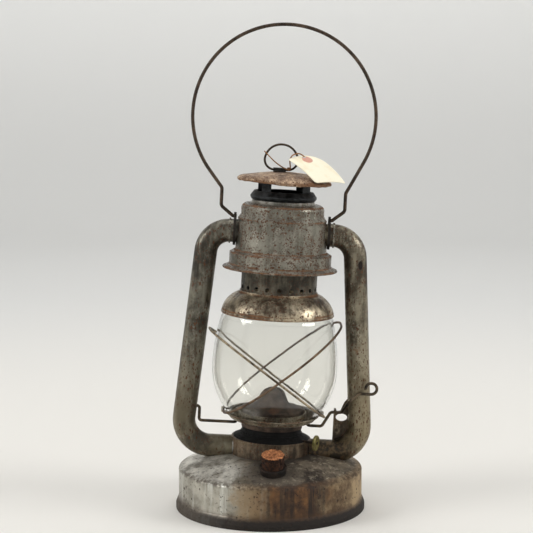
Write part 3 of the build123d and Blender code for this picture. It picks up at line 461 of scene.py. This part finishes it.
def cotton_paint():
    """Woven cotton, its threads in radians a metre, charred near its top."""
    p = Paint("wick_finish", Metallic=0.0, Sheen_Weight=0.3)
    warp = p.calc("SINE", p.calc("MULTIPLY", p.x, THREADS))
    weft = p.calc("SINE", p.calc("MULTIPLY", p.z, THREADS))
    weave = p.calc("MULTIPLY", warp, weft)
    colour = p.blend(p.noise(160, 5, 0.7), linear((150, 132, 104)), linear((196, 180, 150)))
    above = p.calc("MULTIPLY_ADD", p.noise(300, 4, 0.7), 0.004, p.z)
    charred = p.step(above, WICK_CHAR_Z, WICK_CHAR_Z + 0.004)
    p.plug("Base Color", p.blend(charred, colour, linear((20, 18, 17))))
    p.plug("Roughness", p.step(weave, -1.0, 1.0, 0.8, 0.95))
    p.bump(weave, 0.0003, 0.6)
    return p.material


STAMP_PLACE = (0.0186, -0.0056)
STAMP_R = 0.0056


def paper_paint():
    """Cream card with faint stains and a faded red stamp round its hole."""
    p = Paint("paper_finish", Metallic=0.0, Specular_IOR_Level=0.3)
    fibre = p.noise(650, 4, 0.7)
    stain = p.noise(55, 5, 0.6, shift=3)
    colour = p.blend(p.step(stain, 0.45, 0.75), linear((253, 246, 222)), linear((240, 226, 190)))
    dx = p.calc("SUBTRACT", p.x, STAMP_PLACE[0])
    dy = p.calc("SUBTRACT", p.y, STAMP_PLACE[1])
    away = p.calc("MULTIPLY_ADD", fibre, 0.0012, p.distance(dx, dy))
    stamp = p.step(away, STAMP_R, STAMP_R - 0.0008)
    colour = p.blend(p.calc("MULTIPLY", stamp, 0.75), colour, linear((196, 112, 98)))
    p.plug("Base Color", p.blend(p.step(fibre, 0.62, 0.74), colour, linear((226, 210, 172))))
    p.plug("Roughness", p.step(fibre, 0.2, 0.8, 0.68, 0.82))
    p.bump(fibre, 0.0002, 0.5)
    return p.material


def twine_paint(name, dark, light):
    """Fibrous twine in two tones."""
    p = Paint(name, Metallic=0.0, Specular_IOR_Level=0.3, Sheen_Weight=0.2)
    fibre = p.noise(900, 5, 0.75)
    p.plug("Base Color", p.blend(p.step(fibre, 0.35, 0.65), linear(dark), linear(light)))
    p.plug("Roughness", p.step(fibre, 0.2, 0.8, 0.6, 0.85))
    p.bump(fibre, 0.0003, 0.7)
    return p.material


LEFT_TUBE_TIN = aged_tin("left_tube_finish", (128, 124, 110), (52, 48, 40), film=0.03, specks=0.045,
                         rough=0.36, shift=3, low_tint=(124, 114, 92), speck_half=0.48,
                         speck_tall=0.45)
# The right tube's spot is painted shade of a dent in it.
RIGHT_TUBE_TIN = aged_tin("right_tube_finish", (146, 138, 118), (68, 60, 48), film=0.04, specks=0.05,
                          rough=0.36, shift=7, low_tint=(148, 134, 104), speck_half=0.44,
                          spot=(0.0688, 0.2163), dark_foot=True, speck_tall=0.45)
CANOPY_TIN = aged_tin("canopy_finish", (152, 149, 137), (108, 105, 94), film=-0.01, specks=0.09,
                      metal=0.72, rough=0.3, dirt=0.25, shift=13, speck_half=0.47,
                      ribs=(209.6, 212.6, 222.4, 224.6, 251.7, 263.5), rib_half=0.0016,
                      rib_push=0.26)
HOOD_TIN = aged_tin("hood_finish", (192, 178, 152), (70, 60, 47), film=0.03, specks=0.06, rough=0.3,
                    ribs=(170.5, 173.0, 188.6), rib_half=0.002, shift=23, speck_half=0.46, rib_push=0.24)
BAND_TIN = aged_tin("band_finish", (112, 106, 92), (50, 46, 38), film=0.02, specks=0.05,
                    ribs=(188.6,), shift=27, soot_r=0.0322)
NECK_TIN = aged_tin("neck_finish", (172, 170, 162), (108, 104, 96), film=-0.03, specks=0.0, shift=31)
PLATE_TIN = aged_tin("plate_finish", (196, 186, 164), (96, 88, 74), film=0.02, specks=0.05,
                     ribs=(81.8, 78.0), rib_half=0.0014, shift=41, speck_half=0.45)
CHAMBER_TIN = aged_tin("chamber_finish", (120, 104, 84), (50, 42, 33), film=0.03, specks=0.06, shift=51)
CAP_TIN = aged_tin("cap_finish", (196, 168, 138), (108, 82, 62), film=0.09, specks=0.06, metal=0.4,
                   rough=0.48, ribs=(284.2,), rib_half=0.003, shift=61, speck_half=0.44)
BRACKET_TIN = aged_tin("bracket_finish", (112, 98, 76), (54, 45, 35), film=0.05, specks=0.05, shift=71)
BLACK_IRON = iron("sooty_finish", (4, 4, 4), (17, 16, 15), rough=0.72)
VENT_IRON = iron("vent_finish", (9, 9, 10), (58, 60, 62), rough=0.46, metal=0.7, shift=19)
EAR_IRON = iron("ear_finish", (26, 23, 20), (64, 56, 48), rough=0.6, shift=8)
NECK_IRON = iron("filler_finish", (18, 15, 13), (58, 46, 38), rough=0.58, shift=5)
CRANK_WIRE = iron("crank_finish", (44, 38, 32), (128, 112, 90), rough=0.48, metal=0.6, shift=9)
WIRE = iron("wire_finish", (42, 34, 28), (92, 76, 62), rough=0.5, metal=0.6, shift=7)
LEFT_GUARD_WIRE = iron("left_guard_finish", (66, 54, 42), (182, 164, 136), rough=0.5, metal=0.5, shift=17)
RIGHT_GUARD_WIRE = iron("right_guard_finish", (70, 54, 42), (136, 112, 88), rough=0.55, metal=0.5, shift=27)
DOME_IRON = iron("dome_finish", (58, 48, 42), (116, 98, 84), rough=0.7, metal=0.3, bump=0.0008, shift=37)
BRASS = brass_paint("brass_finish", (96, 88, 50), (164, 156, 104))
DULL_BRASS = brass_paint("dull_brass_finish", (62, 52, 36), (120, 106, 72))
GLASS = glass_paint()
PAPER = paper_paint()
TWINE = twine_paint("twine_finish", (96, 62, 32), (186, 132, 78))
KNOT_TWINE = twine_paint("knot_finish", (88, 54, 28), (160, 108, 62))

# The finish of each CAD node that is shown.  The others are replaced by pieces made further down.
FINISHES = {
    "fount_shell": fount_paint(), "fount_collar": DULL_BRASS, "filler_neck": NECK_IRON,
    "air_chamber": CHAMBER_TIN, "burner_deck": BLACK_IRON, "burner_body": BLACK_IRON,
    "wick_tube": DULL_BRASS, "left_tube": LEFT_TUBE_TIN, "right_tube": RIGHT_TUBE_TIN,
    "left_ferrule": CANOPY_TIN, "right_ferrule": CANOPY_TIN, "left_bail_ear": EAR_IRON,
    "right_bail_ear": EAR_IRON, "canopy": CANOPY_TIN, "canopy_neck": NECK_TIN,
    "lift_bracket": BRACKET_TIN, "knob_wheel": BRASS, "knob_shaft": WIRE,
    "spur_wheels": DULL_BRASS, "bail": WIRE, "globe_crank": CRANK_WIRE,
    "globe_plate": PLATE_TIN, "globe": GLASS, "left_guard_hoop": LEFT_GUARD_WIRE,
    "right_guard_hoop": RIGHT_GUARD_WIRE, "guard_clips": PLATE_TIN, "bell": HOOD_TIN,
    "perforated_band": BAND_TIN, "chimney_tube": BLACK_IRON, "vent_crown": VENT_IRON,
    "ring_staple": EAR_IRON, "lift_ring": WIRE,
}
FINISHES["fount_bottom"] = FINISHES["fount_shell"]


def finish_nodes():
    for name, finish in FINISHES.items():
        materials = NODES[name].data.materials
        materials.clear()
        materials.append(finish)


# ---- the string of the tag ----

STRING_ROUTE = [(16.0, -3.0, 306.2), (13.2, -4.0, 308.6), (9.4, -5.6, 309.0), (5.4, -6.0, 307.2),
                (3.6, -5.0, 303.4), (4.0, -3.6, 299.4), (4.6, -2.9, 296.6), (3.0, -2.6, 294.6),
                (0.0, -2.9, 295.2), (-7.0, -2.9, 299.2), (-12.9, -2.1, 304.2), (-18.4, -1.9, 309.6)]
KNOT_PLACE = Vector((3.4, -3.3, 295.2))
KNOT_SCALE = 0.48
KNOT_STEPS = 96
STRANDS = 3
STRAND_R = 0.29 * MM
STRAND_OFFSET = 0.31 * MM
STRAND_SIDES = 8
TWIST_LENGTH = 2.6 * MM


def smooth_line(points):
    """Points along the smooth line of a route, read from its NURBS spline."""
    data = bpy.data.curves.new("route", "CURVE")
    data.dimensions = "3D"
    data.resolution_u = 16
    spline = data.splines.new("NURBS")
    spline.points.add(len(points) - 1)
    for target, point in zip(spline.points, points):
        target.co = (*point, 1.0)
    spline.order_u = 3
    spline.use_endpoint_u = True
    carrier = bpy.data.objects.new("route", data)
    mesh = bpy.data.meshes.new_from_object(carrier)
    line = [vertex.co.copy() for vertex in mesh.vertices]
    bpy.data.meshes.remove(mesh)
    bpy.data.objects.remove(carrier)
    return line


def side_frames(line):
    """Each point of a line with two side directions that don't spin about it."""
    side = (line[1] - line[0]).orthogonal()
    last = len(line) - 1
    for i, point in enumerate(line):
        along = (line[min(i + 1, last)] - line[max(i - 1, 0)]).normalized()
        side = (side - along * side.dot(along)).normalized()
        yield point, side, along.cross(side)


def strand(line, index):
    """Line of one strand of a twisted twine."""
    travelled, before, found = 0.0, line[0], []
    for point, a, b in side_frames(line):
        travelled += (point - before).length
        before = point
        angle = 2 * math.pi * (travelled / TWIST_LENGTH + index / STRANDS)
        found.append(point + STRAND_OFFSET * (math.cos(angle) * a + math.sin(angle) * b))
    return found


def capped_faces(rows, sides):
    """Faces of a tube of rows of points, with a face over each end."""
    faces = grid_faces(rows, sides)
    faces.append(tuple(range(sides)))
    faces.append(tuple(range((rows - 1) * sides, rows * sides)))
    return faces


def tube(line, radius, sides):
    """Points and faces of a capped tube along a line."""
    points = []
    for point, a, b in side_frames(line):
        for k in range(sides):
            angle = 2 * math.pi * k / sides
            points.append(point + radius * (math.cos(angle) * a + math.sin(angle) * b))
    return points, capped_faces(len(line), sides)


def twine(name, line, material):
    """Strands twisted round each other along a line."""
    points, faces = [], []
    for index in range(STRANDS):
        more, new_faces = tube(strand(line, index), STRAND_R, STRAND_SIDES)
        faces += [tuple(i + len(points) for i in face) for face in new_faces]
        points += more
    return mesh_piece(name, points, faces, material)


def make_string():
    """Twisted twine from the tag's hole to the knot and on to its loose end, with the knot on it."""
    line = smooth_line([leaned(point) for point in STRING_ROUTE])
    string = place_piece(twine("tag_twine", line, TWINE), "hood", "string", "tag_string")
    loops = []
    for i in range(KNOT_STEPS + 1):
        t = 2 * math.pi * i / KNOT_STEPS
        trefoil = Vector((math.sin(t) + 2 * math.sin(2 * t), -math.sin(3 * t),
                          math.cos(t) - 2 * math.cos(2 * t)))
        loops.append(leaned(KNOT_PLACE + KNOT_SCALE * trefoil))
    knot = place_piece(twine("twine_knot", loops, KNOT_TWINE), "hood", "string", "string_knot")
    length = sum((b - a).length for a, b in zip(line, line[1:]))
    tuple(line[0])


# ---- paper tag ----

TAG_ROWS = [[(2.0, -7.0, 303.4), (17.5, 1.0, 311.0), (33.0, 8.0, 303.0)],
            [(14.0, -20.0, 297.7), (28.75, -11.5, 302.75), (42.5, -2.5, 297.3)],
            [(26.0, -33.0, 286.0), (40.0, -24.0, 288.5), (52.0, -13.0, 285.6)]]
TAG_HOLE = Vector((16.0, -3.0, 306.0))
TAG_HOLE_R = 1.4
TAG_HALF = 0.2
TAG_COUNT = 61
TAG_CORNER = 0.955


def between(points, t):
    """A point on the curve of three control points."""
    a, b, c = (Vector(point) for point in points)
    return a * (1 - t) ** 2 + b * 2 * t * (1 - t) + c * t ** 2


def tag_point(u, v):
    """A point on the card, u across its ends and v away from its hole, with a slight curl."""
    point = between([between(row, u) for row in TAG_ROWS], v)
    ripple = noise.noise(Vector((u * 2.2, v * 2.2, 0.4)))
    return point + Vector((0, 0, 0.45 * ripple * v))


def tag_cut(u, v):
    """Pulls the card's corners in a little, as punched card has."""
    corner = max(0.0, abs(u - 0.5) + abs(v - 0.5) - TAG_CORNER)
    return u - math.copysign(corner / 2, u - 0.5), v - math.copysign(corner / 2, v - 0.5)


def tag_points():
    """Points of the card's two faces, each moved half its thickness off the middle sheet."""
    last = TAG_COUNT - 1
    sheet = [[tag_point(*tag_cut(i / last, j / last)) for i in range(TAG_COUNT)]
             for j in range(TAG_COUNT)]
    points = []
    for side in (1, -1):
        for j in range(TAG_COUNT):
            for i in range(TAG_COUNT):
                across = sheet[j][min(i + 1, last)] - sheet[j][max(i - 1, 0)]
                along = sheet[min(j + 1, last)][i] - sheet[max(j - 1, 0)][i]
                normal = across.cross(along).normalized()
                points.append(leaned(sheet[j][i] + side * TAG_HALF * normal))
    return points


def tag_faces(points):
    """Both faces of the card without its punched hole, and the strip round its edge."""
    count = TAG_COUNT
    half = count * count
    faces = []
    for first in (0, half):
        for face in grid_faces(count, count, closed=False):
            middle = sum((points[first + k] for k in face), Vector()) / 4
            if (middle - leaned(TAG_HOLE)).length > TAG_HOLE_R * MM:
                faces.append(tuple(first + k for k in face))
    rim = list(range(count)) + [j * count + count - 1 for j in range(1, count)]
    rim += [half - 1 - i for i in range(1, count)] + [(count - 1 - j) * count for j in range(1, count)]
    for a, b in zip(rim, rim[1:]):
        faces.append((a, b, half + b, half + a))
    return faces


def make_tag():
    """Arched card with a punched hole."""
    points = tag_points()
    faces = tag_faces(points)
    tag = place_piece(mesh_piece("paper_tag", points, faces, PAPER), "hood", "paper", "tag")


# ---- dented cap, rusted burner dome, cork and wick ----

CAP_PROFILE = [(38.9, 284.6), (38.9, 283.9), (39.1, 283.2), (39.9, 282.9), (40.7, 283.2), (41.0, 284.0),
               (40.8, 284.8), (40.0, 285.7), (38.6, 286.9), (36.6, 287.8), (34.0, 288.5), (30.0, 289.4),
               (26.0, 290.2), (21.0, 291.0), (15.0, 291.8), (9.0, 292.3), (4.0, 292.5), (0.01, 292.6)]
CAP_INNER = [(0.01, 291.7), (9.0, 291.4), (15.0, 290.9), (21.0, 290.1), (26.0, 289.3), (30.0, 288.5),
             (34.0, 287.5), (36.4, 286.9), (38.2, 285.8), (38.9, 284.6)]
CAP_FIRM_R = 27.0
CAP_RIM_R = 41.0
CAP_TURNS = 180
DENT_ANGLE = 5.35
DENT_HALF = 0.32
DENT_DEPTH = 0.9
RAISED = 1.1


def cap_shape(angle, radius, height):
    """Bends the rim of the cap: raised and wavy on the left, a dent at the front right."""
    loose = max(0.0, (radius - CAP_FIRM_R) / (CAP_RIM_R - CAP_FIRM_R)) ** 1.4
    place = Vector((1.6 * math.cos(angle), 1.6 * math.sin(angle), 0.3))
    wave = 1.2 * noise.noise(place) + 0.5 * noise.noise(place * 3.1)
    left = RAISED * max(0.0, -math.cos(angle)) ** 1.5
    dent = -DENT_DEPTH * math.exp(-((angle - DENT_ANGLE) / DENT_HALF) ** 2)
    fine = 0.16 * noise.noise(Vector(on_circle(angle, radius, 0)) * 0.19)
    shrink = 1 - 0.010 * loose * (1 + noise.noise(place * 2.3))
    bent = height + loose * (wave + left + dent) + (fine if radius > 4 else 0.0)
    return on_circle(angle, radius * shrink, bent)


def make_cap():
    """Domed rain cap with a rolled, bent rim."""
    profile = CAP_PROFILE[::-1] + CAP_INNER[::-1]
    points = [leaned(point) for point in turned(profile, CAP_TURNS, cap_shape)]
    cap = mesh_piece("dented_cap", points, grid_faces(len(profile), CAP_TURNS), CAP_TIN)
    place_piece(cap, "hood", "cap_tin", "cap")


DOME_PROFILE = [(27.0, 70.6), (27.0, 74.0), (27.0, 78.0), (27.0, 82.0), (27.0, 85.6), (26.6, 87.0),
                (24.6, 87.9), (22.0, 88.6), (19.0, 89.3), (17.0, 90.0), (15.2, 91.2), (13.6, 92.9),
                (12.6, 94.4), (12.0, 96.0), (11.2, 98.0), (10.2, 100.0), (8.9, 101.9), (7.4, 103.3),
                (5.6, 104.4), (3.6, 105.0), (1.6, 105.25), (0.05, 105.3)]
DOME_TURNS = 144
DOME_SHEET = 0.8 * MM
CONE_LOW_Z = 88.0
CONE_RISE = 8.0
SLOT_TURN = math.radians(-22.2)
SLOT_HALF_LENGTH = 9.3
SLOT_HALF_WIDTH = 2.2
SLOT_LOW_Z = 96.0


def along_slot(x, y):
    """X and Y turned onto the flame slot: along it, then across it."""
    return (x * math.cos(SLOT_TURN) + y * math.sin(SLOT_TURN),
            y * math.cos(SLOT_TURN) - x * math.sin(SLOT_TURN))


def from_slot(along, across):
    """The reverse of along_slot."""
    return (along * math.cos(SLOT_TURN) - across * math.sin(SLOT_TURN),
            along * math.sin(SLOT_TURN) + across * math.cos(SLOT_TURN))


def dome_shape(angle, radius, height):
    """Heat-warped sheet: lumpy round the cone, smooth down its skirt."""
    loose = min(1.0, max(0.0, (height - CONE_LOW_Z) / CONE_RISE))
    place = Vector(on_circle(angle, radius, height))
    lump = 0.55 * noise.noise(place * 0.23) + 0.3 * noise.noise(place * 0.7)
    reach = radius - 0.45 + (0.45 + lump) * loose if radius > 2 else radius
    return on_circle(angle, reach, height - 0.35 * loose + 0.3 * lump * loose)


def make_burner_dome():
    """Air dome whose flame slot has burned to a ragged edge."""
    points = turned(DOME_PROFILE, DOME_TURNS, dome_shape)
    faces = []
    for face in grid_faces(len(DOME_PROFILE), DOME_TURNS):
        middle = sum((Vector(points[i]) for i in face), Vector()) / 4
        along, across = along_slot(middle.x, middle.y)
        bite = 0.9 * noise.noise(middle * 0.9)
        in_slot = abs(across) <= SLOT_HALF_WIDTH + bite and abs(along) <= SLOT_HALF_LENGTH + bite
        if middle.z < SLOT_LOW_Z or not in_slot:
            faces.append(face)
    dome = mesh_piece("warped_dome", [leaned(point) for point in points], faces, DOME_IRON)
    solid = dome.modifiers.new("sheet", "SOLIDIFY")
    solid.thickness = DOME_SHEET
    solid.offset = -1
    place_piece(dome, "frame", "rusty_iron", "burner_dome")


CORK_PLACE = Matrix.Translation(Vector(FILLER_PLACE)) @ Matrix.Rotation(FILLER_TILT, 4, "X")
CORK_TURNS = 120
CORK_LOW_Z = -6.9
CORK_TOP_Z = 16.72
NECK_LIP_Z = 5.8


def cork_profile():
    """Up the tapering sides, over the worn edge and in across the top."""
    profile = [(0.01, CORK_LOW_Z), (8.4, CORK_LOW_Z)]
    profile += [(8.8 + 0.05 * (h + 7), h) for h in range(-6, 6)]
    profile += [(9.42 + 0.05 * (h / 2 - 5.5), h / 2) for h in range(12, 31)]
    profile += [(9.9, 15.6), (9.8, 16.1), (9.5, 16.5), (9.0, 16.7)]
    return profile + [(r / 2, CORK_TOP_Z) for r in range(17, 0, -1)] + [(0.01, CORK_TOP_Z)]


def cork_shape(angle, radius, height):
    """Crumbs and chips the cork where it stands free of the filler's neck."""
    free = min(1.0, max(0.0, (height - NECK_LIP_Z) / 1.5))
    flat = Vector(on_circle(angle, radius, height))
    crumb = 0.5 * noise.noise(flat * 0.8) + 0.45 * noise.noise(flat * 1.9)
    chip = min(0.0, noise.noise(flat * 0.42) + 0.18) * 1.8
    push = (-0.25 + crumb + chip) * free if radius > 8 else -0.1
    lift = 0.22 * noise.noise(flat * 1.1) - 0.2 if height > 16 else 0.0
    point = Vector(on_circle(angle, radius + push, height + lift)) if radius > 0.1 else flat
    return (CORK_PLACE @ point) * MM


def make_cork():
    """Old crumbling cork: a chipped top edge and pitted sides above the filler's neck."""
    profile = cork_profile()
    points = turned(profile, CORK_TURNS, cork_shape)
    cork = mesh_piece("crumbling_cork", points, grid_faces(len(profile), CORK_TURNS), cork_paint())
    place_piece(cork, "cork", "cork", "cork")


WICK_ROWS = 240
WICK_SIDES = 40
WICK_HALF_WIDTH = 6.85
WICK_HALF_DEPTH = 0.78
WICK_LOW_Z = 16.0
WICK_LENGTH = 79.8
FRAY_FROM = 0.985


def squared(value, power):
    """A sine or cosine with its sign kept and its size raised to a power, to square a circle off."""
    return math.copysign(abs(value) ** power, value)


def make_wick():
    """Woven flat wick with ribbed faces and a frayed, charred top."""
    points = []
    for row in range(WICK_ROWS):
        t = row / (WICK_ROWS - 1)
        for k in range(WICK_SIDES):
            angle = 2 * math.pi * k / WICK_SIDES
            rib = 0.07 * math.sin(row * 1.6) * math.sin(k * 1.9)
            frayed = max(0.0, t - FRAY_FROM) / (1 - FRAY_FROM)
            fray = 1.3 * noise.noise(Vector((k * 1.7, 0.2, 0))) * frayed
            x, y = from_slot(WICK_HALF_WIDTH * squared(math.cos(angle), 0.35),
                             (WICK_HALF_DEPTH + rib) * squared(math.sin(angle), 0.6))
            points.append(leaned((x, y, WICK_LOW_Z + WICK_LENGTH * t + fray)))
    wick = mesh_piece("woven_wick", points, capped_faces(WICK_ROWS, WICK_SIDES), cotton_paint())
    place_piece(wick, "wick", "cotton", "wick")


# ---- studio ----

FLOOR_R = 2.4
BEND_R = 1.2
BEND_STEPS = 12
WALL_TOP_Z = 3.4
FLOOR_TURNS = 96

MIDDLE = (0, 0, 0.2)
WORLD_TINT = (0.96, 0.97, 1.0, 1.0)
WORLD_STRENGTH = 0.34
# Name, place, what it faces, width, power and tint of each lamp
LAMPS = [
    ("left_box", (-1.9, -0.6, 1.3), MIDDLE, 1.1, 21.0, (1.0, 0.985, 0.96)),
    ("right_box", (1.9, -0.5, 1.2), MIDDLE, 1.1, 20.0, (1.0, 0.985, 0.96)),
    ("top_box", (0.0, 0.2, 2.2), MIDDLE, 1.5, 14.0, (1.0, 0.99, 0.975)),
    ("wall_box", (0.0, 1.3, 2.6), (0, 3.6, 1.0), 1.2, 18.0, (1.0, 0.995, 0.985)),
]


def studio_paint():
    """Pale grey, with painted light: lighter and warmer near the lantern, and lighter up the wall."""
    p = Paint("studio_finish", False, Roughness=0.9, Specular_IOR_Level=0.1)
    # Painted light: the floor is lighter and warmer close to the lantern, and the wall lighter higher up.
    near = p.step(p.radius(), 0.25, 1.5)
    ground = p.blend(near, linear((230, 228, 223)), linear((222, 222, 220)))
    p.plug("Base Color", p.blend(p.step(p.z, 0.1, 0.9), ground, linear((250, 250, 248))))
    return p.material


def make_floor():
    """A wide pale dish: flat floor that curves up into a wall all round, far from the lantern."""
    profile = [(0.0, 0.0), (0.6, 0.0), (1.4, 0.0), (FLOOR_R, 0.0)]
    for i in range(1, BEND_STEPS + 1):
        angle = math.radians(90 * i / BEND_STEPS)
        profile.append((FLOOR_R + BEND_R * math.sin(angle), BEND_R - BEND_R * math.cos(angle)))
    profile.append((FLOOR_R + BEND_R, WALL_TOP_Z))
    points = turned(profile, FLOOR_TURNS)
    floor = mesh_piece("floor", points, grid_faces(len(profile), FLOOR_TURNS), studio_paint())


def add_light(name, place, target, size, power, colour):
    data = bpy.data.lights.new(name, "AREA")
    data.shape = "DISK"
    data.size = size
    data.energy = power
    data.color = colour
    lamp = add_object(name, data)
    lamp.location = place
    lamp.rotation_euler = (Vector(target) - Vector(place)).to_track_quat("-Z", "Y").to_euler()


def make_light():
    world = bpy.data.worlds.new("studio")
    world.use_nodes = True
    background = world.node_tree.nodes["Background"]
    background.inputs["Color"].default_value = WORLD_TINT
    background.inputs["Strength"].default_value = WORLD_STRENGTH
    bpy.context.scene.world = world
    bpy.context.scene.view_settings.view_transform = "Standard"
    for lamp in LAMPS:
        add_light(*lamp)


make_camera()
make_string()
make_tag()
make_cap()
make_burner_dome()
make_cork()
make_wick()
make_floor()
make_light()
finish_nodes()
